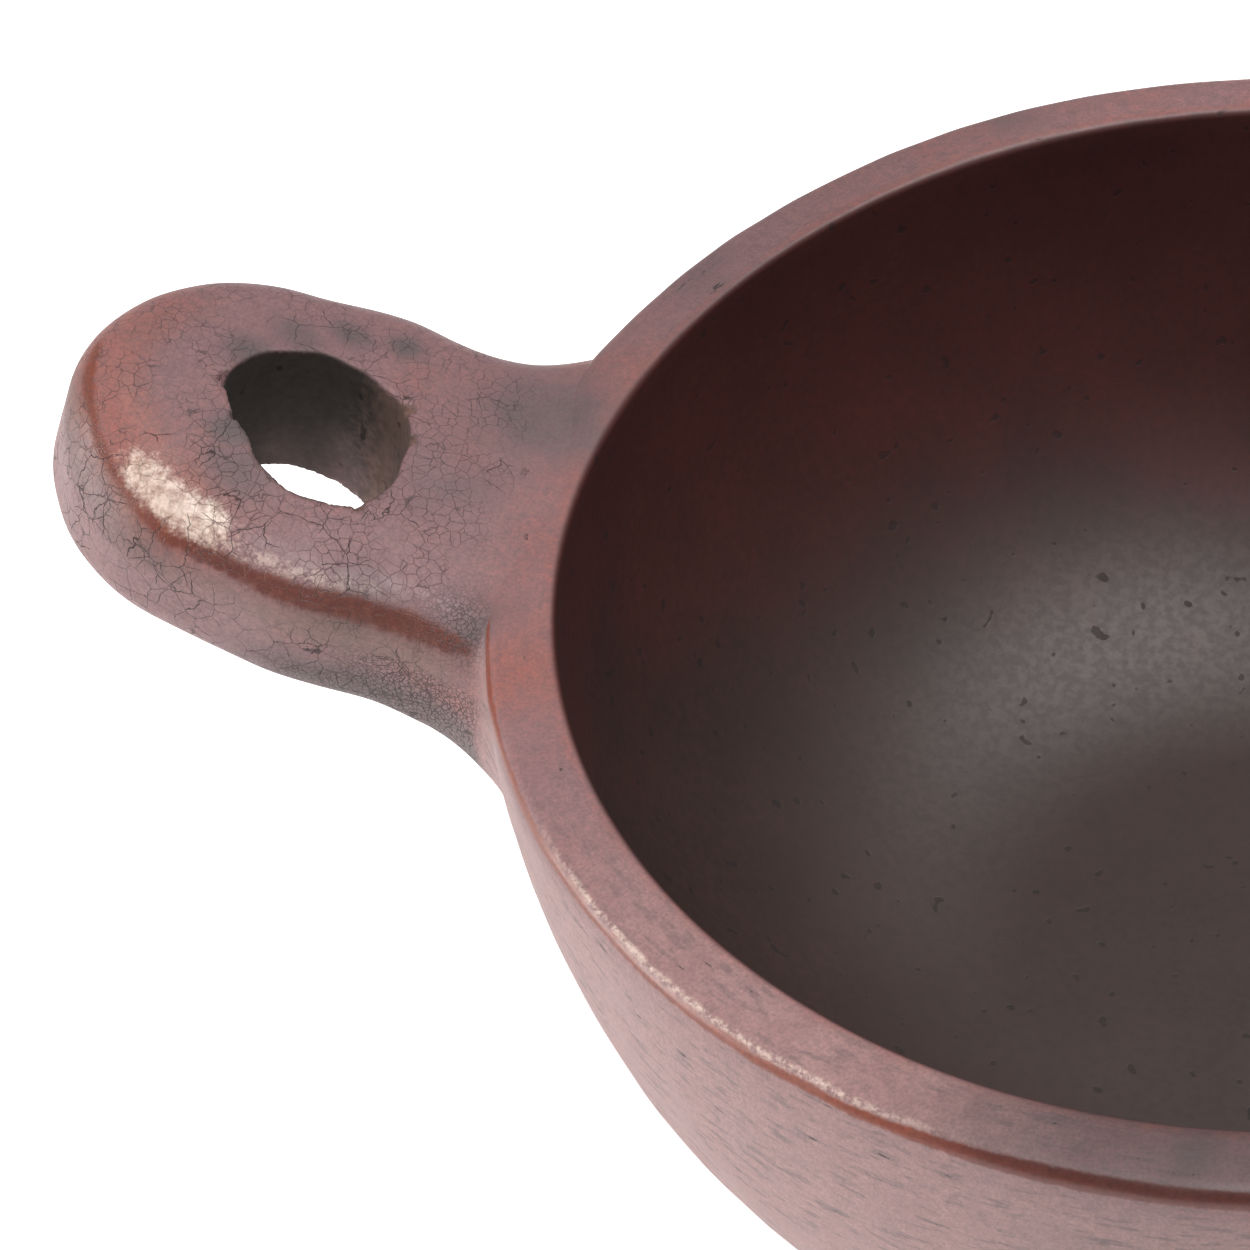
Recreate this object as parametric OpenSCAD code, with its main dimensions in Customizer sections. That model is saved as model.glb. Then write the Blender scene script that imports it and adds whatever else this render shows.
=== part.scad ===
// Round open bowl with a flat rim and one pierced lug handle, in fired clay.
// Z is up, the origin is on the bowl's axis at the table, and the lug points along -X.

/* [Bowl] */
// Inside diameter of the mouth
mouth_d = 140; // [124:1:160]
// Width of the flat rim, which is also the thickness of the wall
rim_w = 7.2; // [5.6:0.1:9]
// Height from the table to the flat rim
bowl_h = 70; // [64:1:76]
// Depth below the rim at which the bowl is widest
belly_drop = 9.3; // [5:0.1:14]
// Thickness of the clay under the hollow
floor_t = 9; // [7:0.5:12]
// Radius of the turn from the inner wall to the floor
hollow_turn_r = 42; // [34:1:44]
// Radius of the turn from the outer wall to the flat base
foot_turn_r = 8; // [4:0.5:12]
// Rounding of the rim's two edges
rim_edge_r = 1.1; // [0.6:0.1:2]

/* [Lug] */
// Length of the lug's top face, from the rim to its tip
lug_l = 46; // [42:0.5:52]
// Width across the lug
lug_w = 41.5; // [38:0.5:46]
// Thickness of the lug
lug_t = 18.5; // [15:0.5:20]
// Angle at which the lug rises away from the rim
lug_tilt = 22; // [12:1:28]
// Rounding of the lug's edges
lug_edge_r = 4.9; // [3:0.1:6]
// Diameter of the hole through the lug
hole_d = 19; // [14:0.5:21]
// Distance from the rim to the middle of the hole
hole_out = 20.5; // [19:0.5:22]

/* [Luting] */
// Radius of the hollow curve of clay worked in around the lug's root
luting_r = 12; // [8:0.5:16]
// How far that curve bites past its tangent, which keeps its edges blunt
luting_bite = 0.4; // [0.3:0.05:0.6]

/* [Hidden] */
$fn = 240;
rim_r = mouth_d / 2 + rim_w;
ball_r = long_side(rim_r, belly_drop);
hollow_ball_r = long_side(mouth_d / 2, belly_drop);
ball_z = bowl_h - belly_drop;
lug_tip_r = lug_w / 2;
lug_tip_out = lug_l - lug_tip_r;
luting_drop = 3 * lug_t;
past = 1;

function short_side(longest, other) = sqrt(longest * longest - other * other);
function long_side(a, b) = sqrt(a * a + b * b);

// A cut that leaves a rounded corner between two directions
module round_off(centre, r, from, to) {
    middle = (from + to) / 2;
    reach = 2 * r;
    translate(centre)
        difference() {
            polygon([
                [0, 0],
                reach * [cos(from), sin(from)],
                reach * [cos(middle), sin(middle)],
                reach * [cos(to), sin(to)],
            ]);
            circle(r);
        }
}

// Right half of the bowl's outer outline, filled in: a ball cut flat at the rim and the base
module outer_section() {
    foot_x = short_side(ball_r - foot_turn_r, ball_z - foot_turn_r);
    edge_x = short_side(ball_r - rim_edge_r, belly_drop - rim_edge_r);
    difference() {
        intersection() {
            translate([0, ball_z]) circle(ball_r);
            square([2 * rim_r, bowl_h]);
        }
        round_off(
            [foot_x, foot_turn_r], foot_turn_r,
            atan2(foot_turn_r - ball_z, foot_x), -90
        );
        round_off(
            [edge_x, bowl_h - rim_edge_r], rim_edge_r,
            atan2(belly_drop - rim_edge_r, edge_x), 90
        );
    }
}

// Right half of the hollow: a flat floor, a turn, and a ball-shaped wall up to the mouth
module hollow_section() {
    turn_z = floor_t + hollow_turn_r;
    turn_x = short_side(hollow_ball_r - hollow_turn_r, ball_z - turn_z);
    join_z = ball_z + (turn_z - ball_z) * hollow_ball_r / (hollow_ball_r - hollow_turn_r);
    edge_x = short_side(hollow_ball_r + rim_edge_r, belly_drop - rim_edge_r);
    intersection() {
        translate([0, ball_z]) circle(hollow_ball_r);
        translate([0, join_z]) square([2 * rim_r, bowl_h + past - join_z]);
    }
    intersection() {
        translate([turn_x, turn_z]) circle(hollow_turn_r);
        translate([0, floor_t]) square([2 * rim_r, join_z - floor_t]);
    }
    translate([0, floor_t]) square([turn_x, bowl_h + past - floor_t]);
    round_off(
        [edge_x, bowl_h - rim_edge_r], rim_edge_r,
        90, 180 + atan2(belly_drop - rim_edge_r, edge_x)
    );
}

// The ball whose surface is the bowl's outer wall
module ball() {
    translate([0, 0, ball_z]) sphere(ball_r);
}

// Moves a shape into the lug's own frame: X runs out along the lug, Z is square to its top face
module at_lug() {
    translate([-rim_r, 0, bowl_h])
        mirror([1, 0, 0])
            rotate([0, -lug_tilt, 0])
                children();
}

// Rounded rectangle across the lug, hanging from the level of its top face
module lug_across() {
    r = lug_edge_r;
    translate([-lug_w / 2, r - lug_t]) square([lug_w, lug_t - 2 * r]);
    translate([r - lug_w / 2, -lug_t]) square([lug_w - 2 * r, lug_t]);
    for (side = [-1, 1], level = [-r, r - lug_t]) {
        translate([side * (lug_w / 2 - r), level]) circle(r);
    }
}

module lug_body() {
    at_lug() {
        translate([lug_tip_out, 0, 0])
            rotate([90, 0, -90])
                linear_extrude(lug_tip_out + rim_r / 2) lug_across();
        translate([lug_tip_out, 0, 0])
            rotate_extrude()
                intersection() {
                    lug_across();
                    translate([0, -lug_t]) square([lug_tip_r, lug_t]);
                }
    }
}

// Vertical strips of luting in the corners between the lug's two sides and the wall
module side_luting() {
    centre_y = lug_w / 2 + luting_r;
    centre_x = -short_side(rim_r + luting_r, centre_y);
    translate([0, 0, bowl_h - luting_drop])
        linear_extrude(luting_drop + lug_t)
            for (side = [0, 1]) {
                mirror([0, side])
                    difference() {
                        polygon([
                            [0, 0],
                            [centre_x, lug_w / 2 - lug_edge_r],
                            [centre_x, centre_y],
                        ]);
                        translate([centre_x, centre_y]) circle(luting_r + luting_bite);
                    }
            }
}

// Strip of luting in the corner between the lug's underside and the wall
module under_luting() {
    ball_u = -rim_r * cos(lug_tilt) - belly_drop * sin(lug_tilt);
    ball_n = rim_r * sin(lug_tilt) - belly_drop * cos(lug_tilt);
    centre_n = -lug_t - luting_r;
    centre_u = ball_u + short_side(ball_r + luting_r, centre_n - ball_n);
    width = lug_w + 2 * luting_r;
    at_lug()
        translate([0, width / 2, 0])
            rotate([90, 0, 0])
                linear_extrude(width)
                    difference() {
                        polygon([
                            [ball_u, ball_n],
                            [centre_u, centre_n],
                            [centre_u, lug_edge_r - lug_t],
                        ]);
                        translate([centre_u, centre_n]) circle(luting_r + luting_bite);
                    }
}

// Block in the lug's frame between two levels, a given distance each side of the lug's middle
module slab(low, high, half_width) {
    at_lug()
        translate([-rim_r, -half_width, low])
            cube([2 * rim_r, 2 * half_width, high - low]);
}

module bowl() {
    color("#7a4038")
        rotate_extrude()
            difference() {
                outer_section();
                hollow_section();
            }
}

module lug() {
    color("#84483f")
        difference() {
            lug_body();
            ball();
            at_lug()
                translate([hole_out, 0, -lug_t - past])
                    cylinder(h = lug_t + 2 * past, d = hole_d);
        }
}

module luting() {
    color("#6e4a45")
        difference() {
            union() {
                intersection() {
                    side_luting();
                    slab(lug_edge_r - lug_t, -lug_edge_r / 2, lug_w);
                }
                intersection() {
                    under_luting();
                    slab(-luting_drop, 0, lug_w / 2 - lug_edge_r);
                }
                intersection() {
                    side_luting();
                    under_luting();
                }
            }
            lug_body();
            ball();
        }
}

bowl();
lug();
luting();
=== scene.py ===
"""Looks for the pierced-lug oil lamp bowl: shaped meshes, clay materials, light and camera."""

import math

import bpy
import numpy as np
import openvdb
from mathutils import Matrix, Vector


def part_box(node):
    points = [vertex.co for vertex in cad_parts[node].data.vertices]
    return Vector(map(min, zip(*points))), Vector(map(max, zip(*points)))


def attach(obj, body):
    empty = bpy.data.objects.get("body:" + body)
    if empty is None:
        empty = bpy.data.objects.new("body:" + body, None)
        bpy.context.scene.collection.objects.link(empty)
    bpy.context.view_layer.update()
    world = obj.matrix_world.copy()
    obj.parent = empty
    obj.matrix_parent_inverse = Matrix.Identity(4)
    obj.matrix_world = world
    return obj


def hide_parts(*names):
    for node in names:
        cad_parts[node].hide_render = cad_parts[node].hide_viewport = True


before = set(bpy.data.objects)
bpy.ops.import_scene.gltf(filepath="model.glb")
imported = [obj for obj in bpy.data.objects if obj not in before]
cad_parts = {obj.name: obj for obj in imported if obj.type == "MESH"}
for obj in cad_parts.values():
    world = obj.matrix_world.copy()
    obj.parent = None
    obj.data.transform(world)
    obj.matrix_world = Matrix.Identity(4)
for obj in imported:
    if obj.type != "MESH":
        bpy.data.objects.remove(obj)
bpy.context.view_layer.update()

MM = 0.001
SEED = 1911

# ---------------------------------------------------------------- sizes, in millimetres
BOWL_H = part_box("bowl")[1].z / MM
MOUTH_R = 70.0

# Outer wall: an arc whose centre lies a little beyond the bowl's axis
WALL_R = 86.6
WALL_IN = 8.96
WALL_Z = BOWL_H - 8.4
FOOT_R = 9.0
RIM_OUT_R = 1.7
RIM_IN_R = 0.8
RIM_CROWN = 0.12

# Hollow: a ball-shaped wall, a turn and a flat floor
BALL_Z = BOWL_H - 9.3
HOLLOW_R = math.hypot(MOUTH_R, BOWL_H - BALL_Z)
TURN_R = 42.0
FLOOR_Z = 9.0

# Lug: its top line rises from the rim, and its two sides have their own half widths
LUG_ROOT_OUT = 75.12
LUG_RISE = 0.3628
LUG_CURVE = 0.000886
LUG_SOFTEN = 0.6
LUG_SINK = 0.12
LUG_STATIONS = (-4.2, 7.0, 17.5, 29.4)
LUG_FAR = (26.4, 21.7, 23.0, 21.8)
LUG_NEAR = (22.2, 20.3, 21.4, 20.1)
LUG_CAP_START = 27.2
LUG_TIP = 44.7
LUG_CAP_POWER = 1.906
LUG_T_ROOT = 19.2
LUG_T_TIP = 18.0
LUG_EDGE_R = 4.9
LUG_UNDER_R = 4.8
LUG_DOME = 2.2
HOLE_S = 20.95
HOLE_R = 9.65


# ---------------------------------------------------------------- camera
def add_camera():
    """The camera looks down into the bowl from the near side, with the lug on the left."""
    heading, tilt, roll = math.radians(20.85), math.radians(90 - 44.169), math.radians(10.34)
    turn = 0.108
    reach, above = 3.5527 * MOUTH_R * MM, 3.4121 * MOUTH_R * MM
    place = Vector((reach * math.sin(turn), -reach * math.cos(turn), above + BOWL_H * MM))
    data = bpy.data.cameras.new("camera")
    data.lens = 100.3
    data.sensor_width = 36.0
    data.clip_start = 0.01
    camera = bpy.data.objects.new("camera", data)
    camera.matrix_world = (
        Matrix.Translation(place)
        @ Matrix.Rotation(heading, 4, "Z")
        @ Matrix.Rotation(tilt, 4, "X")
        @ Matrix.Rotation(-roll, 4, "Z")
    )
    bpy.context.scene.collection.objects.link(camera)
    bpy.context.scene.camera = camera


# ---------------------------------------------------------------- fields, in millimetres
def lumps(p):
    """Low swells left by shaping the clay by hand."""
    rng = np.random.default_rng(SEED)
    total = np.zeros(p.shape[:-1])
    for wavelength, height in ((41.0, 0.13), (17.0, 0.06), (7.5, 0.03)):
        for _ in range(4):
            direction = rng.normal(size=3)
            direction /= np.linalg.norm(direction)
            phase = rng.uniform(0, 2 * math.pi)
            total += height / 2 * np.sin(2 * math.pi / wavelength * (p @ direction) + phase)
    return total


def smooth_min(a, b, k):
    """The lower of two fields, with the corner between them filled over a width k."""
    h = np.clip(0.5 + 0.5 * (b - a) / k, 0, 1)
    return b + (a - b) * h - k * h * (1 - h)


def rounded_max(a, b, r):
    """The inside of two fields at once, with the edge between them rounded to radius r."""
    qa, qb = a + r, b + r
    return np.hypot(np.maximum(qa, 0), np.maximum(qb, 0)) + np.minimum(np.maximum(qa, qb), 0) - r


def smooth_step(low, high, value):
    t = np.clip((value - low) / (high - low), 0, 1)
    return t * t * (3 - 2 * t)


def bowl_field(p):
    """The bowl with its hollow filled in."""
    r = np.hypot(p[..., 0], p[..., 1])
    wall = np.hypot(r + WALL_IN, p[..., 2] - WALL_Z) - WALL_R
    top = p[..., 2] - BOWL_H
    return rounded_max(wall, top, RIM_OUT_R) - lumps(p)


def smooth_through(stations, values, s):
    """A smooth curve through a few values, level beyond both ends."""
    x = np.array(stations, float)
    y = np.array(values, float)
    slope = np.gradient(y, x)
    slope[-1] = 0
    s = np.clip(s, x[0], x[-1])
    i = np.clip(np.searchsorted(x, s) - 1, 0, len(x) - 2)
    span = x[i + 1] - x[i]
    t = (s - x[i]) / span
    return (
        (2 * t**3 - 3 * t**2 + 1) * y[i]
        + (t**3 - 2 * t**2 + t) * span * slope[i]
        + (3 * t**2 - 2 * t**3) * y[i + 1]
        + (t**3 - t**2) * span * slope[i + 1]
    )


def lug_line(s):
    """Height and slope of the lug's top line, which leaves the rim without a crease."""
    a = (0.42 + LUG_RISE * s + LUG_CURVE * s * s + LUG_SINK) / LUG_SOFTEN
    level = LUG_SOFTEN * np.logaddexp(0, a) - LUG_SINK
    slope = (LUG_RISE + 2 * LUG_CURVE * s) / (1 + np.exp(-np.clip(a, -40, 40)))
    return level, slope


def lug_place(p):
    """Where points lie in the lug: out along it, across it and above its top line."""
    out = -p[..., 0] - LUG_ROOT_OUT
    up = p[..., 2] - BOWL_H
    s = out.copy()
    for _ in range(5):
        level, slope = lug_line(s)
        angle = np.arctan(slope)
        s += np.cos(angle) * (np.cos(angle) * (out - s) + np.sin(angle) * (up - level))
    level, slope = lug_line(s)
    angle = np.arctan(slope)
    return s, p[..., 1], np.cos(angle) * (up - level) - np.sin(angle) * (out - s)


def lug_half_widths(s):
    e = np.clip((s - LUG_CAP_START) / (LUG_TIP - LUG_CAP_START), 0, 1)
    cap = (1 - e**LUG_CAP_POWER) ** (1 / LUG_CAP_POWER)
    far = smooth_through(LUG_STATIONS, LUG_FAR, s)
    near = smooth_through(LUG_STATIONS, LUG_NEAR, s)
    return far * cap, near * cap


SLOPE_LENGTH = 1.068


class Outline:
    """Signed distance to the lug's outline in its own plane, looked up from a fine grid."""

    STEP = 0.25
    LOW_U, HIGH_U, HALF_T = -16.0, 56.0, 38.0

    def __init__(self):
        ends = 0.5 - 0.5 * np.cos(np.linspace(0, math.pi, 80))
        s = np.concatenate([np.linspace(-15, LUG_CAP_START, 60), LUG_CAP_START
                            + (LUG_TIP - LUG_CAP_START) * np.sin(ends * math.pi / 2)[1:]])
        far, near = lug_half_widths(s)
        u = np.concatenate([s, s[::-1]]) * SLOPE_LENGTH
        t = np.concatenate([far, -near[::-1]])
        a = np.stack([u, t], -1)
        b = np.roll(a, -1, axis=0)
        grid_u = np.arange(self.LOW_U, self.HIGH_U + self.STEP, self.STEP)
        grid_t = np.arange(-self.HALF_T, self.HALF_T + self.STEP, self.STEP)
        uu, tt = np.meshgrid(grid_u, grid_t, indexing="ij")
        points = np.stack([uu, tt], -1)
        best = np.full(uu.shape, 1e9)
        for start, end in zip(a, b):
            edge = end - start
            length = edge @ edge
            if length < 1e-9:
                continue
            k = np.clip((points - start) @ edge / length, 0, 1)
            gap = points - start - k[..., None] * edge
            best = np.minimum(best, (gap**2).sum(-1))
        far_g, near_g = lug_half_widths(uu / SLOPE_LENGTH)
        inside = (tt < far_g) & (tt > -near_g) & (uu < LUG_TIP * SLOPE_LENGTH)
        self.table = np.where(inside, -1, 1) * np.sqrt(best)

    def __call__(self, u, t):
        i = np.clip((u - self.LOW_U) / self.STEP, 0, self.table.shape[0] - 1.001)
        j = np.clip((t + self.HALF_T) / self.STEP, 0, self.table.shape[1] - 1.001)
        i0, j0 = i.astype(int), j.astype(int)
        fi, fj = i - i0, j - j0
        d = self.table
        return (
            d[i0, j0] * (1 - fi) * (1 - fj)
            + d[i0 + 1, j0] * fi * (1 - fj)
            + d[i0, j0 + 1] * (1 - fi) * fj
            + d[i0 + 1, j0 + 1] * fi * fj
        )


outline = Outline()


# Chips round the hole: direction in radians, distance beyond its edge and size in millimetres
CHIPS = (
    (0.12, 0.1, 0.8),
    (2.5, 0.1, 0.7),
    (2.95, 0.0, 0.6),
    (-2.2, 0.1, 0.8),
    (-0.35, 0.1, 0.5),
)


def chips(along, t, n):
    """Distance into the crumbs missing from the hole's upper edge."""
    deepest = np.full(np.shape(t), -9.0)
    for turn, outward, size in CHIPS:
        reach = hole_radius(turn) + outward
        away_along = along - reach * math.cos(turn)
        away_across = t - reach * math.sin(turn)
        wavy = 1 + 0.25 * np.sin(5 * np.arctan2(away_across, away_along))
        deepest = np.maximum(deepest, size - np.hypot(np.hypot(away_along, away_across) * wavy, 0.8 * n))
    return deepest


def hole_radius(angle):
    """The hole was cut by hand: it is drawn out from the far tip side to the near root side."""
    return (
        HOLE_R
        + 0.95 * np.sin(2 * angle)
        + 0.50 * np.cos(3 * (angle - 0.27))
        + 0.22 * np.sin(5 * angle + 1.0)
        + 0.10 * np.sin(11 * angle)
    )


def hole_gap(along, t, n):
    """Distance outside the hole, which is rounder towards the underside."""
    uneven = 0.35 + 0.65 * smooth_step(-16, -2, n)
    radius = HOLE_R + (hole_radius(np.arctan2(t, along)) - HOLE_R) * uneven
    return np.hypot(along, t) - radius


def lug_field(p):
    """The lug with its hole, running on into the bowl."""
    s, t, n = lug_place(p)
    u = s * SLOPE_LENGTH
    side = outline(u, t)
    far, near = lug_half_widths(np.clip(s, LUG_STATIONS[0], LUG_CAP_START))
    across = (t - (far - near) / 2) / ((far + near) / 2)
    thick = LUG_T_ROOT + (LUG_T_TIP - LUG_T_ROOT) * np.clip(s / LUG_TIP, 0, 1)
    dome = LUG_DOME * np.minimum(across**2, 1.3) * smooth_step(-7, 5, s)
    top = n + dome
    under = -thick + 0.3 * dome - n
    # The edge at the front of the tip is worn to a broad chamfer
    around = np.arctan2(t, np.maximum(s - 24, 0.01))
    worn = np.exp(-(((around + 0.75) / 0.55) ** 2)) * smooth_step(14, 26, s)
    radius = np.where(top > under, LUG_EDGE_R + 3.2 * worn, LUG_UNDER_R)
    body = rounded_max(side, np.maximum(top, under), radius)
    along = u - HOLE_S * SLOPE_LENGTH
    body = rounded_max(body, -hole_gap(along, t, n), 0.3)
    body = rounded_max(body, chips(along, t, n), 0.15)
    return body - lumps(p)


def hollow_field(p):
    """Positive inside the hollow and the clay just round it."""
    r = np.hypot(p[..., 0], p[..., 1])
    return HOLLOW_R + 1.2 - np.hypot(r, p[..., 2] - BALL_Z)


def lug_piece_field(p):
    return np.maximum(np.maximum(lug_field(p), -0.5 - bowl_field(p)), hollow_field(p))


def luting_piece_field(p):
    """A skin of clay that fills the corner between the lug's sides and underside and the wall."""
    lug, bowl = lug_field(p), bowl_field(p)
    _, _, n = lug_place(p)
    k = 0.2 + 2.3 * (1 - smooth_step(-5, -1, n)) + 6.5 * (1 - smooth_step(-14, -5, n))
    filled = smooth_min(lug, bowl, k) + 0.04
    skin = -1.3 - np.minimum(lug, bowl)
    near_corner = np.maximum(np.abs(lug - bowl) - k - 0.8, n + 0.8)
    return np.maximum(np.maximum(filled, skin), np.maximum(near_corner, hollow_field(p)))


# ---------------------------------------------------------------- meshes
def new_object(name, verts, faces):
    """An object from points in millimetres and lists of point numbers."""
    mesh = bpy.data.meshes.new(name)
    mesh.from_pydata((verts * MM).tolist(), [], faces)
    mesh.shade_smooth()
    mesh.validate()
    obj = bpy.data.objects.new(name, mesh)
    bpy.context.scene.collection.objects.link(obj)
    return obj


def field_mesh(name, field, low, high, step):
    """The surface where a field is zero, with its points moved exactly onto it."""
    axes = [np.arange(a, b + step, step) for a, b in zip(low, high)]
    grid = np.stack(np.meshgrid(*axes, indexing="ij"), -1)
    values = np.stack([field(layer) for layer in grid])
    volume = openvdb.FloatGrid(1.0)
    volume.copyFromArray(values.astype(np.float32))
    points, quads = volume.convertToQuads()
    points = points.astype(float) * step + np.array(low)
    for _ in range(2):
        value = field(points)
        h = 0.05
        gradient = np.stack([
            (field(points + h * axis) - field(points - h * axis)) / (2 * h) for axis in np.eye(3)
        ], -1)
        size = np.maximum((gradient**2).sum(-1), 0.25)
        move = -(value / size)[:, None] * gradient
        length = np.linalg.norm(move, axis=-1, keepdims=True)
        points += move * np.minimum(1, 0.4 * step / np.maximum(length, 1e-9))
    obj = new_object(name, points, quads.tolist())
    mesh = obj.data
    first = mesh.polygons[0]
    if first.normal.dot(Vector(gradient[first.vertices[0]])) < 0:
        mesh.flip_normals()
    return obj


def arc(cx, cz, r, start, end, count):
    a = np.radians(np.linspace(start, end, count))
    return np.stack([cx + r * np.cos(a), cz + r * np.sin(a)], -1)


def bowl_profile():
    """Right half of the bowl's section, from the middle of the base round to the floor."""
    foot_cx = math.sqrt((WALL_R - FOOT_R) ** 2 - (WALL_Z - FOOT_R) ** 2) - WALL_IN
    foot_end = math.degrees(math.atan2(FOOT_R - WALL_Z, foot_cx + WALL_IN))
    rim_cz = BOWL_H - RIM_OUT_R
    rim_cx = math.sqrt((WALL_R - RIM_OUT_R) ** 2 - (rim_cz - WALL_Z) ** 2) - WALL_IN
    rim_start = math.degrees(math.atan2(rim_cz - WALL_Z, rim_cx + WALL_IN))
    in_cz = BOWL_H - RIM_IN_R
    in_cx = math.sqrt((HOLLOW_R + RIM_IN_R) ** 2 - (in_cz - BALL_Z) ** 2)
    in_end = 180 + math.degrees(math.atan2(in_cz - BALL_Z, in_cx))
    turn_z = FLOOR_Z + TURN_R
    turn_x = math.sqrt((HOLLOW_R - TURN_R) ** 2 - (turn_z - BALL_Z) ** 2)
    turn_end = math.degrees(math.atan2(turn_z - BALL_Z, turn_x))
    base = np.stack([np.linspace(0, foot_cx, 10), np.zeros(10)], -1)
    rim_x = np.linspace(rim_cx, in_cx, 12)[1:-1]
    crown = RIM_CROWN * np.sin(math.pi * (rim_x - in_cx) / (rim_cx - in_cx))
    rim = np.stack([rim_x, BOWL_H + crown], -1)
    floor = np.stack([np.linspace(turn_x, 0, 10)[1:], np.full(9, FLOOR_Z)], -1)
    return np.concatenate([
        base[:-1],
        arc(foot_cx, FOOT_R, FOOT_R, -90, foot_end, 9),
        arc(-WALL_IN, WALL_Z, WALL_R, foot_end, rim_start, 34)[1:-1],
        arc(rim_cx, rim_cz, RIM_OUT_R, rim_start, 90, 8),
        rim,
        arc(in_cx, in_cz, RIM_IN_R, 90, in_end, 7),
        arc(0, BALL_Z, HOLLOW_R, in_end - 180, turn_end, 14)[1:-1],
        arc(turn_x, turn_z, TURN_R, turn_end, -90, 26),
        floor,
    ])


def build_bowl():
    """The section turned round the axis, with the low swells of hand shaping."""
    around = 640
    profile = bowl_profile()
    inner = profile[1:-1]
    angles = np.linspace(0, 2 * math.pi, around, endpoint=False)
    ring = np.stack([
        np.outer(inner[:, 0], np.cos(angles)),
        np.outer(inner[:, 0], np.sin(angles)),
        np.repeat(inner[:, 1:], around, axis=1),
    ], -1)
    along = np.gradient(inner, axis=0)
    along /= np.linalg.norm(along, axis=1, keepdims=True)
    normal = np.stack([
        np.outer(along[:, 1], np.cos(angles)),
        np.outer(along[:, 1], np.sin(angles)),
        np.repeat(-along[:, :1], around, axis=1),
    ], -1)
    # The base stays flat where it stands, and the hollow is smoother than the outside
    inside = smooth_step(1.5, 0.2, np.hypot(inner[:, :1], inner[:, 1:] - BALL_Z) - HOLLOW_R)
    swell = lumps(ring) * smooth_step(0.5, 8, ring[..., 2]) * (1 - 0.75 * inside)
    ring += normal * swell[..., None]
    verts = np.concatenate([[[0, 0, 0]], ring.reshape(-1, 3), [[0, 0, FLOOR_Z]]])
    rows = len(inner)
    index = 1 + np.arange(rows * around).reshape(rows, around)
    right = np.roll(index, -1, axis=1)
    quads = np.stack([index[:-1], right[:-1], right[1:], index[1:]], -1).reshape(-1, 4)
    last = len(verts) - 1
    faces = quads.tolist()
    faces += [[0, int(b), int(a)] for a, b in zip(index[0], right[0])]
    faces += [[last, int(a), int(b)] for a, b in zip(index[-1], right[-1])]
    return new_object("bowl_body", verts, faces)


# ---------------------------------------------------------------- marks on the clay
def ragged_band(value, middle, half, soft):
    """1 within half of the middle, falling to 0 over a soft edge."""
    return 1 - smooth_step(half - soft, half + soft, np.abs(value - middle))


def blob(p, centre, size):
    """A soft round patch."""
    return np.exp(-(((p - np.array(centre)) / size) ** 2).sum(-1))


def roll_over_edge(side, top, r):
    """Distance travelled from the top face over a rounded edge and down the side."""
    q, w = side + r, top + r
    turn = math.pi / 2 - np.arctan2(np.maximum(w, 0), np.maximum(q, 1e-6))
    return np.where(q < 0, q, np.where(w < 0, r * math.pi / 2 - w, r * turn))


# Grey smudges on the bowl and the joint: middle, size in millimetres, and strength
SMUDGES = (
    ((-76, 11, 70.5), 10, 0.8),
    ((-77, -19, 70), 5, 0.75),
    ((-65, 37, 70), 7, 0.5),
    ((-17, -71.5, 70), 2.6, 0.6),
    ((2, -73, 70), 3.2, 0.7),
    ((-36, 66, 70), 5, 0.5),
    ((40, 62, 70), 7, 0.5),
    ((64, -40, 68), 8, 0.5),
)

# Grey smudges on the lug's top: distance out along it and across it, size and strength
LUG_SMUDGES = (
    (28.5, -5, 3.2, 1.0),
    (26.5, -10, 4.5, 0.8),
    (30, 6, 3.5, 0.9),
    (26.5, 11, 4, 0.75),
    (22, 14, 3, 0.9),
    (16.5, 15, 2.5, 0.9),
    (8, -2, 9, 0.5),
    (11, -19, 5, 0.6),
)


def grey_marks(p):
    total = np.zeros(p.shape[:-1])
    for centre, size, strength in SMUDGES:
        total = np.maximum(total, strength * blob(p, centre, size))
    return total


def lug_grey_marks(p, s, t, n, roll):
    """Smudges on the lug's top, and its darker lower edge."""
    total = np.maximum(grey_marks(p), smooth_step(9, 14, roll) * smooth_step(30, 12, s))
    on_lug = np.stack([s, t], -1)
    for out, across, size, strength in LUG_SMUDGES:
        spot = strength * blob(on_lug, (out, across), size) * smooth_step(-9, -5, n)
        total = np.maximum(total, spot)
    return total


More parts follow.
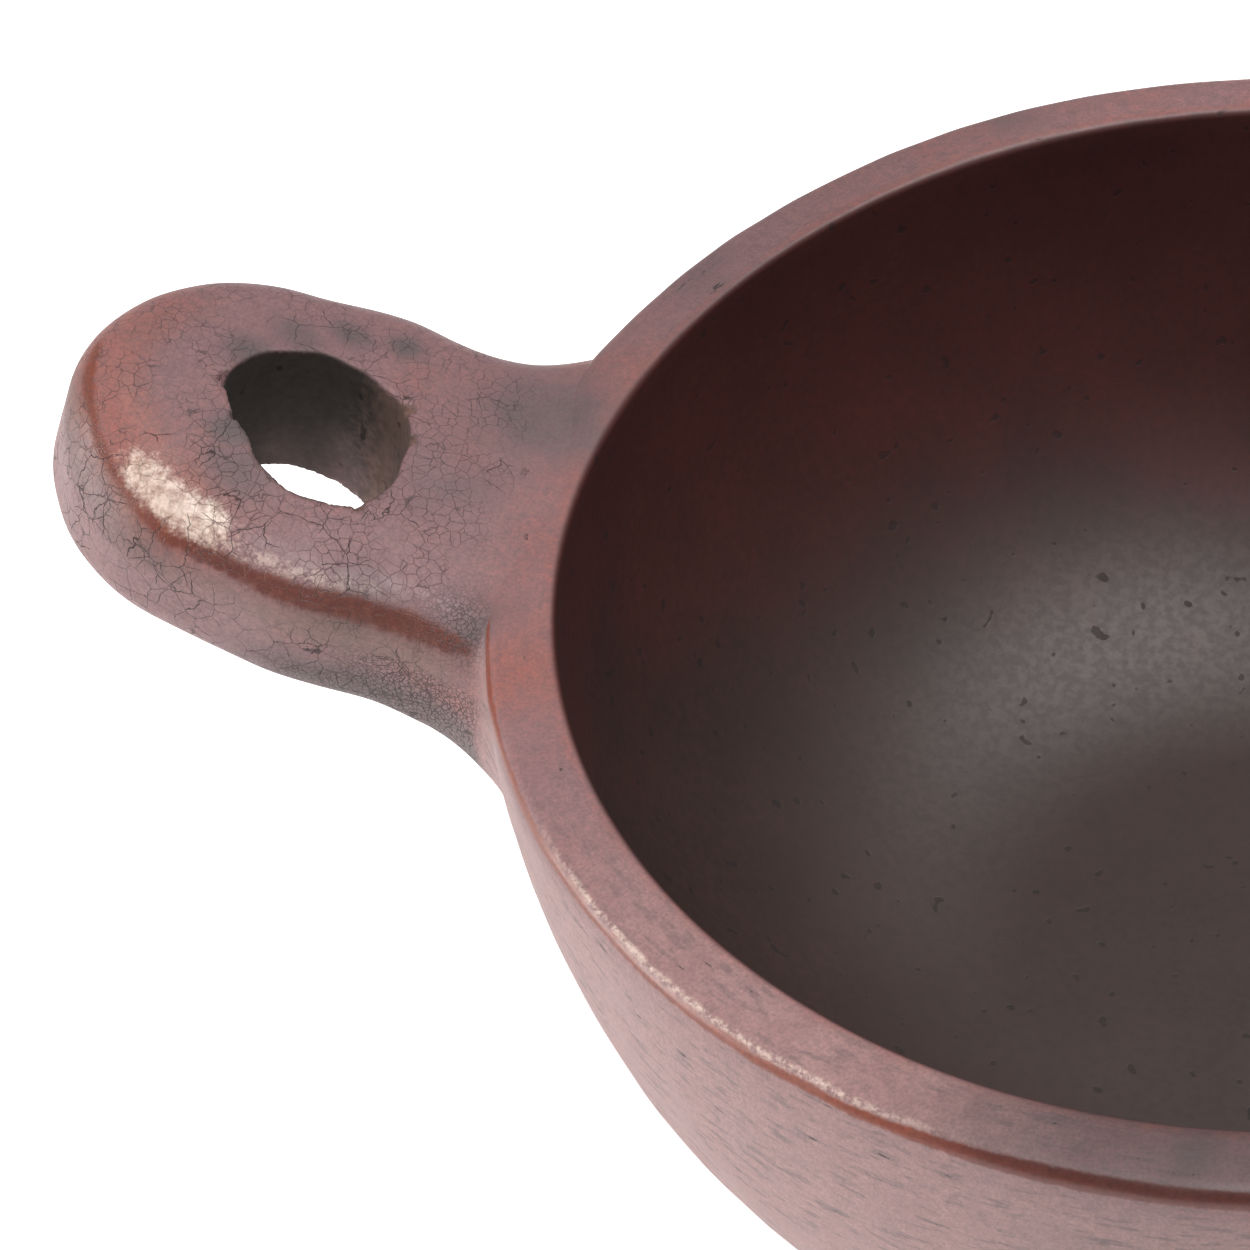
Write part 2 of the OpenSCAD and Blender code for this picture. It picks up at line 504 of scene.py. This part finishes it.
def lug_marks(p):
    """Where the lug and its root are crackled, polished with a painted dark reflection, red, grey or bare, and
    where painted highlights, painted sheen, painted shade and painted light fall.
    """
    s, t, n = lug_place(p)
    side = outline(s * SLOPE_LENGTH, t)
    far, near = lug_half_widths(np.clip(s, LUG_STATIONS[0], LUG_CAP_START))
    across = (t - (far - near) / 2) / ((far + near) / 2)
    top = n + LUG_DOME * np.minimum(across**2, 1.3)
    roll = roll_over_edge(side, top, LUG_EDGE_R)
    around = np.degrees(np.arctan2(t, np.maximum(s - 24, 0.01)))
    front = smooth_step(4, -4, t)
    along = (s - HOLE_S) * SLOPE_LENGTH
    gap = hole_gap(along, t, n)
    # The hole's wall and the chips, which take the dark bare clay colour, with painted shade in the hole
    hole_and_chips = np.maximum(
        smooth_step(0.5, 0.1, gap) * smooth_step(-0.1, -0.6, n),
        smooth_step(-0.15, 0.1, chips(along, t, n)),
    )
    return {
        "crackle": smooth_step(-3, 6, s) * (1 - hole_and_chips),
        "roll": roll - 4.3,
        # worn, polished near edge, painted dark as a painted reflection of dark surroundings
        "band": front * np.maximum(smooth_step(34, 14, s), 0.55) * smooth_step(-1, 5, s),
        # painted highlight on the tip's worn front chamfer, where the left lamp's highlight falls
        "painted_highlight": ragged_band(around, -66, 21, 9) * ragged_band(roll, 1.3, 2.1, 1.6) * smooth_step(21, 27, s),
        # painted highlight line just above the dark edge line
        "highlight_line": front * smooth_step(6, 16, s) * smooth_step(31, 25, s),
        "red": np.maximum(
            0.52 * ragged_band(around, -40, 70, 25) * ragged_band(roll, 2.0, 4.5, 2.5) * smooth_step(22, 32, s),
            0.3 * smooth_step(4, -3, s),
        ),
        "grey": lug_grey_marks(p, s, t, n, roll),
        "inner": hole_and_chips,
        "rough": np.maximum.reduce([
            smooth_step(18, 6, s) * smooth_step(7.0, 10, roll),
            0.8 * smooth_step(27, 14, s) * smooth_step(11, 14, roll),
            blob(p, (-76.5, -19.5, 70), 5.5),
        ]),
        # paler slip with painted sheen down the lug's sides
        "dust_and_sheen": 0.25 * smooth_step(5, 9, roll),
        # painted light on the hole's wall towards the root, and painted shade left of the tip's front
        "shade": np.maximum(
            hole_and_chips * smooth_step(HOLE_S + 1, HOLE_S - 8, s),
            0.4 * ragged_band(around, -45, 45, 20) * ragged_band(roll, 6.5, 3.5, 1.5) * smooth_step(24, 32, s),
        ),
    }


def bowl_marks(p):
    """Where the bowl's rim is worn, with a painted dark reflection and a painted highlight line, where painted
    sheen and painted shade fall, and which of its surface lies inside the hollow.
    """
    r = np.hypot(p[..., 0], p[..., 1])
    wall = np.hypot(r + WALL_IN, p[..., 2] - WALL_Z) - WALL_R
    roll = roll_over_edge(wall, p[..., 2] - BOWL_H, RIM_OUT_R)
    around = np.degrees(np.arctan2(p[..., 1], p[..., 0]))
    from_ball = np.hypot(r, p[..., 2] - BALL_Z) - HOLLOW_R
    in_hollow = p[..., 2] > FLOOR_Z - 1
    outer = smooth_step(0.4, 1.2, from_ball)
    right = np.maximum(ragged_band(around, -80, 24, 8), 0.8 * ragged_band(around, 25, 60, 20))
    return {
        "crackle": 0 * r,
        # worn outer rim edge: a thin red line that widens at the front into a painted dark reflection
        "roll": roll - 1.7,
        "band": (0.35 + 0.65 * right) * outer,
        "painted_highlight": 0 * r,
        # painted highlight line along the rim's outer edge, at the front left and at the back
        "highlight_line": outer * np.maximum(ragged_band(around, -124, 17, 7), 0.8 * ragged_band(around, 90, 12, 8)),
        "red": np.maximum(
            0.3 * smooth_step(2.0, 1.0, from_ball) * smooth_step(0, 1, from_ball),
            0.45 * blob(p, (-69, -25, 70), 9),
        ),
        "grey": grey_marks(p),
        "inner": in_hollow * smooth_step(0.85, 0.15, from_ball),
        "rough": 0 * r,
        # paler slip with painted sheen on the outer wall and the front left of the rim
        "dust_and_sheen": outer * np.maximum(smooth_step(2.6, 5.5, roll), 0.7 * ragged_band(around, -116, 22, 14)),
        # painted shade on the front of the rim and the wall just under it, and on the back left of the rim
        "shade": np.maximum(
            ragged_band(around, -76, 28, 14) * (1 - 0.65 * smooth_step(1.0, 2.6, roll)),
            0.45 * ragged_band(around, 140, 30, 25),
        ),
    }


def joined_marks(p, main):
    """One piece's own marks, with those that cross the joint shared with its neighbour's."""
    lug, bowl = lug_marks(p), bowl_marks(p)
    share = smooth_step(-1.8, 1.8, bowl_field(p) - lug_field(p)) * (1 - bowl["inner"])
    marks = dict(lug if main == "lug" else bowl)
    for name in ("crackle", "red", "grey", "rough", "dust_and_sheen"):
        marks[name] = share * lug[name] + (1 - share) * bowl[name]
    return marks


def paint(obj, main):
    """Stores each mark on the mesh's points, for the material to read."""
    points = np.empty(len(obj.data.vertices) * 3)
    obj.data.vertices.foreach_get("co", points)
    for name, values in joined_marks(points.reshape(-1, 3) / MM, main).items():
        layer = obj.data.attributes.new(name, "FLOAT", "POINT")
        layer.data.foreach_set("value", values.astype(np.float32))


# ---------------------------------------------------------------- materials
PINK = (0.192, 0.102, 0.105)
RED = (0.230, 0.080, 0.064)
GREY = (0.098, 0.069, 0.071)
# Paler slip, which also carries the painted sheen of the lit outer wall
DUST_AND_SHEEN = (0.275, 0.160, 0.150)
# Cream of the painted highlights
HIGHLIGHT_CREAM = (0.58, 0.46, 0.385)
TAN = (0.42, 0.29, 0.225)
OLIVE = (0.155, 0.092, 0.066)
# Worn edge colours, darkened as painted dark reflections
POLISHED_DARK_REFLECTION = (0.100, 0.026, 0.018)
INSIDE_RED = (0.056, 0.0135, 0.0115)
INSIDE_GREY = (0.034, 0.018, 0.015)
# Dark bare clay, also the painted shade of the hole's wall; the next colour is its painted lit side
BARE_AND_SHADE = (0.026, 0.0165, 0.0125)
BARE_LIT = (0.135, 0.074, 0.055)
POLISHED_RED_REFLECTION = (0.115, 0.034, 0.022)
RED_LINE = (0.175, 0.042, 0.023)
RED_EDGE = (0.125, 0.026, 0.017)


# Worn edges, in millimetres: half width, softness and raggedness of the polished line, whose dark colour is partly
# a painted dark reflection, and how far above it the painted highlight line lies
BAND_HALF = {"bowl_clay": 0.65, "lug_clay": 0.75, "luting_clay": 0.75}
BAND_SOFT = {"bowl_clay": 0.35, "lug_clay": 1.0, "luting_clay": 1.0}
BAND_RAGGED = {"bowl_clay": 0.5, "lug_clay": 1.2, "luting_clay": 1.2}
HIGHLIGHT_UP = {"bowl_clay": 0.5, "lug_clay": 1.3, "luting_clay": 1.3}
HIGHLIGHT_SHARE = {"bowl_clay": 0.6, "lug_clay": 0.42, "luting_clay": 0.42}
INNER_ROUGH = {"bowl_clay": 0.54, "lug_clay": 0.85, "luting_clay": 0.85}
INNER_RELIEF = {"bowl_clay": 0.12, "lug_clay": 1.6, "luting_clay": 1.6}


class Shade:
    """The nodes of one material, with a short call for each kind."""

    def __init__(self, name):
        self.material = bpy.data.materials.new(name)
        self.material.use_nodes = True
        self.nodes = self.material.node_tree.nodes
        self.links = self.material.node_tree.links
        self.shader = self.nodes["Principled BSDF"]
        self.place = self.nodes.new("ShaderNodeTexCoord").outputs["Object"]

    def put(self, socket, value):
        if isinstance(value, bpy.types.NodeSocket):
            self.links.new(value, socket)
        elif isinstance(value, tuple) and len(value) == 3 and socket.type == "RGBA":
            socket.default_value = (*value, 1)
        else:
            socket.default_value = value

    def mark(self, name):
        node = self.nodes.new("ShaderNodeAttribute")
        node.attribute_name = name
        return node.outputs["Fac"]

    def math(self, operation, a, b=0.0, clamp=False):
        node = self.nodes.new("ShaderNodeMath")
        node.operation = operation
        node.use_clamp = clamp
        self.put(node.inputs[0], a)
        self.put(node.inputs[1], b)
        return node.outputs[0]

    def step(self, value, low, high, to_low=0.0, to_high=1.0):
        node = self.nodes.new("ShaderNodeMapRange")
        node.interpolation_type = "SMOOTHSTEP"
        for name, given in (("Value", value), ("From Min", low), ("From Max", high),
                            ("To Min", to_low), ("To Max", to_high)):
            self.put(node.inputs[name], given)
        return node.outputs["Result"]

    def mix(self, share, a, b):
        node = self.nodes.new("ShaderNodeMix")
        node.data_type = "RGBA"
        self.put(node.inputs["Factor"], share)
        self.put(node.inputs[6], a)
        self.put(node.inputs[7], b)
        return node.outputs[2]

    def vector(self, operation, a, b):
        node = self.nodes.new("ShaderNodeVectorMath")
        node.operation = operation
        self.put(node.inputs[0], a)
        self.put(node.inputs[3 if operation == "SCALE" else 1], b)
        return node.outputs[0]

    def noise(self, size, detail=3.0, rough=0.55, place=None, colour=False):
        """Noise whose features are about size millimetres across."""
        node = self.nodes.new("ShaderNodeTexNoise")
        self.put(node.inputs["Vector"], place or self.place)
        self.put(node.inputs["Scale"], 1 / (size * MM))
        self.put(node.inputs["Detail"], detail)
        self.put(node.inputs["Roughness"], rough)
        return node.outputs["Color" if colour else "Fac"]

    def cracks(self, size, width, wander):
        """Lines of a given width between cells of a given size, in millimetres."""
        drift = self.vector("SUBTRACT", self.noise(size * 0.6, 3.0, 0.6, colour=True), (0.5, 0.5, 0.5))
        place = self.vector("ADD", self.place, self.vector("SCALE", drift, wander * MM))
        node = self.nodes.new("ShaderNodeTexVoronoi")
        node.feature = "DISTANCE_TO_EDGE"
        self.put(node.inputs["Vector"], place)
        self.put(node.inputs["Scale"], 1 / (size * MM))
        edge = width / size
        return self.step(node.outputs["Distance"], edge * 0.35, edge, 1.0, 0.0)


def flattened(shade, across):
    """Coordinates that run fast in height and outward but slowly round the bowl, with Y and Z."""
    split = shade.nodes.new("ShaderNodeSeparateXYZ")
    shade.put(split.inputs[0], shade.place)
    x, y, z = split.outputs
    r = shade.math("SQRT", shade.math("ADD", shade.math("MULTIPLY", x, x), shade.math("MULTIPLY", y, y)))
    join = shade.nodes.new("ShaderNodeCombineXYZ")
    shade.put(join.inputs[0], shade.math("MULTIPLY", x, across))
    shade.put(join.inputs[1], shade.math("MULTIPLY", y, across))
    shade.put(join.inputs[2], shade.math("SUBTRACT", z, r))
    return join.outputs[0], x, y, z


def clay(name, crack_depth):
    """Burnished slip: pink, red and grey drifts, crackle, scratches, worn edges and a dark inside, with painted
    highlights, painted sheen, painted dark reflections, painted light and painted shade.
    """
    shade = Shade(name)
    add = lambda a, b: shade.math("ADD", a, b)
    times = lambda a, b: shade.math("MULTIPLY", a, b)
    without = lambda a: shade.math("SUBTRACT", 1.0, a, clamp=True)
    broad = shade.noise(16.0, 3.0, 0.6)
    drift = shade.noise(4.5, 5.0, 0.65)
    fleck = shade.noise(1.1, 3.0, 0.65)
    grain = shade.noise(0.34, 2.0, 0.7)
    inner = shade.mark("inner")
    roll = shade.mark("roll")

    # Slip colours, mottled at three sizes
    mottle = add(times(broad, 0.8), add(times(fleck, 0.5), times(grain, 0.5)))
    red_share = shade.step(add(shade.mark("red"), times(add(mottle, -0.9), 1.4)), -0.12, 0.80)
    colour = shade.mix(red_share, PINK, RED)
    grey_share = add(times(drift, 0.9), add(times(fleck, 0.5), times(grain, 0.4)))
    grey_share = add(shade.mark("grey"), add(grey_share, -1.07))
    colour = shade.mix(shade.step(grey_share, 0.0, 0.85), colour, GREY)
    # Painted sheen on paler slip: the outer wall and the lug's sides are painted lighter, most at the front left,
    # where the light falls
    dust_and_sheen_share = times(shade.mark("dust_and_sheen"), shade.step(drift, 0.3, 0.6, 0.55, 1.0))
    colour = shade.mix(dust_and_sheen_share, colour, DUST_AND_SHEEN)
    tone = times(shade.step(fleck, 0.25, 0.75, 0.90, 1.10), shade.step(grain, 0.2, 0.8, 0.80, 1.20))
    # Painted shade: darker on the front and back left of the rim and left of the lug's tip
    tone = times(tone, shade.step(shade.mark("shade"), 0.0, 1.0, 1.0, 0.42))

    # Short soft dashes and a few dark nicks that run round the bowl
    long_way, x, y, z = flattened(shade, 0.2)
    dash_noise = shade.noise(0.8, 2.0, 0.6, place=long_way)
    plain = times(without(shade.mark("crackle")), without(inner))
    dash = times(times(shade.step(dash_noise, 0.50, 0.66), shade.step(drift, 0.34, 0.56)), plain)
    dash = times(dash, add(0.3, times(shade.mark("dust_and_sheen"), 0.7)))
    colour = shade.mix(times(dash, 0.6), colour, GREY)
    nick = times(times(shade.step(dash_noise, 0.70, 0.73), shade.step(fleck, 0.45, 0.6)), plain)

    # Crackle: a faint fine net, a few long wandering cracks, and a dense net at the root
    patch = shade.step(shade.noise(6.0, 2.0, 0.5), 0.35, 0.60, 0.3, 1.0)
    calm = shade.mark("crackle")
    lower = shade.step(roll, 0.5, 4.0)
    fine = times(shade.cracks(1.35, 0.05, 0.45), shade.step(lower, 0.0, 1.0, 0.62, 0.35))
    coarse = times(shade.cracks(2.5, 0.052, 0.9), shade.step(lower, 0.0, 1.0, 0.30, 0.85))
    wide = times(shade.cracks(4.2, 0.055, 1.5), shade.step(shade.noise(9.0, 1.0, 0.4), 0.55, 0.59))
    dense = times(shade.cracks(0.55, 0.055, 0.4), shade.mark("rough"))
    crack = times(shade.math("MAXIMUM", fine, coarse), patch)
    crack = times(shade.math("MAXIMUM", crack, wide), calm)
    crack = shade.math("MAXIMUM", crack, times(times(dense, 0.75), without(inner)))

    # Polished line along the worn edge, worn red and darkened as a painted dark reflection, with a painted
    # highlight line above it
    ragged = add(roll, times(add(fleck, -0.5), BAND_RAGGED[name]))
    ragged = add(ragged, times(add(drift, -0.5), BAND_RAGGED[name]))
    half = times(shade.mark("band"), BAND_HALF[name])
    away = shade.math("SUBTRACT", shade.math("ABSOLUTE", ragged), half)
    band = times(shade.step(away, 0.0, BAND_SOFT[name], 1.0, 0.0), shade.step(shade.mark("band"), 0.02, 0.2))
    above = add(add(ragged, half), HIGHLIGHT_UP[name])
    # Painted highlight line just above the dark edge line
    highlight_line = times(shade.step(shade.math("ABSOLUTE", above), 0.0, HIGHLIGHT_UP[name], 1.0, 0.0), shade.mark("highlight_line"))
    highlight_line = times(highlight_line, shade.step(add(fleck, times(grain, 0.4)), 0.55, 0.82))
    # Painted highlight: a cream and tan patch on the tip's worn front chamfer, where the left lamp's highlight
    # falls
    highlight_patch = add(shade.mark("painted_highlight"), times(add(add(fleck, times(grain, 0.5)), -0.75), 1.1))
    highlight_patch = times(shade.step(highlight_patch, 0.15, 0.95), shade.step(shade.mark("painted_highlight"), 0.0, 0.15))
    # The edge line's colour: worn red, darkened as a painted dark reflection
    if name == "bowl_clay":
        polish_and_dark_reflection = shade.mix(shade.step(shade.mark("band"), 0.4, 0.9), RED_LINE, RED_EDGE)
    else:
        polish_and_dark_reflection = shade.mix(shade.step(fleck, 0.4, 0.7), POLISHED_DARK_REFLECTION, POLISHED_RED_REFLECTION)
        polish_and_dark_reflection = shade.mix(shade.step(shade.mark("red"), 0.2, 0.6), polish_and_dark_reflection, RED_LINE)
    if name == "lug_clay":
        under = times(shade.step(ragged, 0.5, 2.0), shade.step(ragged, 3.5, 7.0, 1.0, 0.0))
        colour = shade.mix(times(times(under, shade.mark("band")), 0.45), colour, OLIVE)
    colour = shade.mix(times(band, 0.92), colour, polish_and_dark_reflection)
    colour = shade.mix(times(highlight_patch, 0.85), colour, shade.mix(shade.step(fleck, 0.36, 0.60), TAN, HIGHLIGHT_CREAM))
    colour = shade.mix(times(highlight_line, HIGHLIGHT_SHARE[name]), colour, HIGHLIGHT_CREAM)

    # Inside of the bowl, or the wall of the hole: dark bare clay with painted shade, painted lighter on its lit
    # side towards the root
    if name == "bowl_clay":
        height_share = add(add(z, times(y, 0.35)), add(times(x, 0.12), times(add(broad, -0.5), 0.03)))
        deep = shade.mix(shade.step(height_share, 0.020, 0.062), INSIDE_GREY, INSIDE_RED)
    else:
        # The hole's wall is painted lighter on its lit side towards the root and painted in shade elsewhere; chips
        # show the dark bare clay
        lit = add(shade.mark("shade"), times(add(fleck, -0.5), 0.8))
        deep = shade.mix(shade.step(lit, 0.1, 1.0), BARE_AND_SHADE, BARE_LIT)
    colour = shade.mix(inner, colour, deep)
    pits = times(shade.step(shade.noise(1.9, 1.0, 0.4), 0.71, 0.75), inner)
    dark = shade.math("MAXIMUM", shade.math("MAXIMUM", crack, times(nick, 0.8)), times(pits, 0.6))
    smoky = times(shade.step(fleck, 0.3, 0.7, 0.86, 1.12), shade.step(broad, 0.3, 0.7, 0.90, 1.08))
    tone = add(tone, times(inner, shade.math("SUBTRACT", smoky, tone)))
    tone = times(tone, shade.step(dark, 0.0, 1.0, 1.0, 0.22))
    shade.put(shade.shader.inputs["Base Color"], shade.vector("SCALE", colour, tone))

    # Sheen
    rough = shade.step(drift, 0.3, 0.7, 0.47, 0.58)
    rough = shade.math("SUBTRACT", rough, times(shade.math("MAXIMUM", band, highlight_patch), 0.20))
    rough = add(rough, times(inner, shade.math("SUBTRACT", INNER_ROUGH[name], rough)))
    rough = add(rough, times(dark, 0.25))
    rough = add(rough, times(inner, shade.step(fleck, 0.35, 0.65, 0.03, -0.03)))
    shade.put(shade.shader.inputs["Roughness"], rough)

    # Relief
    outside = shade.step(inner, 0.0, 1.0, 1.0, INNER_RELIEF[name])
    height = add(add(times(grain, 0.10), times(fleck, 0.18)), add(times(dash, -0.10), times(highlight_patch, 0.10)))
    height = add(times(height, outside), times(dark, -crack_depth))
    bump = shade.nodes.new("ShaderNodeBump")
    shade.put(bump.inputs["Strength"], 0.55)
    shade.put(bump.inputs["Distance"], 0.12 * MM)
    shade.put(bump.inputs["Height"], height)
    shade.put(shade.shader.inputs["Normal"], bump.outputs["Normal"])
    return shade.material


# ---------------------------------------------------------------- room
def add_area(name, place, aim, size_x, size_y, watts):
    data = bpy.data.lights.new(name, "AREA")
    data.shape = "RECTANGLE"
    data.size, data.size_y = size_x, size_y
    data.energy = watts
    light = bpy.data.objects.new(name, data)
    light.location = place
    light.rotation_euler = (Vector(aim) - Vector(place)).to_track_quat("-Z", "Y").to_euler()
    bpy.context.scene.collection.objects.link(light)


def add_room():
    size = 4.0
    mesh = bpy.data.meshes.new("floor")
    mesh.from_pydata([(-size, -size, 0), (size, -size, 0), (size, size, 0), (-size, size, 0)],
                     [], [(0, 1, 2, 3)])
    floor = bpy.data.objects.new("floor", mesh)
    bpy.context.scene.collection.objects.link(floor)
    material = bpy.data.materials.new("floor_paper")
    material.use_nodes = True
    shader = material.node_tree.nodes["Principled BSDF"]
    shader.inputs["Base Color"].default_value = (0.75, 0.75, 0.75, 1)
    shader.inputs["Roughness"].default_value = 1.0
    shader.inputs["Specular IOR Level"].default_value = 0.0
    shader.inputs["Emission Color"].default_value = (1, 1, 1, 1)
    shader.inputs["Emission Strength"].default_value = 0.62
    mesh.materials.append(material)
    world = bpy.data.worlds.new("studio")
    bpy.context.scene.world = world
    world.use_nodes = True
    background = world.node_tree.nodes["Background"]
    background.inputs["Color"].default_value = (1, 1, 1, 1)
    background.inputs["Strength"].default_value = 0.35
    middle = (0, 0, 0.06)
    add_area("overhead", (0.3, -0.05, 1.2), middle, 0.75, 0.65, 16)
    add_area("left", (-0.85, -0.22, 0.32), middle, 0.5, 0.45, 6)
    bpy.context.scene.view_settings.view_transform = "Standard"


# ---------------------------------------------------------------- assembly
add_camera()
add_room()

bowl = build_bowl()
lug_step = 0.4
lug = field_mesh("lug_body", lug_piece_field, (-127, -31, 46), (-68, 31, 92), lug_step)
luting = field_mesh("luting_fill", luting_piece_field, (-96, -40, 34), (-66, 40, 80), lug_step)

for piece, node, main, crack_depth in (
    (bowl, "bowl", "bowl", 0.5),
    (lug, "lug", "lug", 0.9),
    (luting, "luting", "lug", 0.9),
):
    paint(piece, main)
    piece.data.materials.append(clay(node + "_clay", crack_depth))
    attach(piece, "root")
    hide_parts(node)
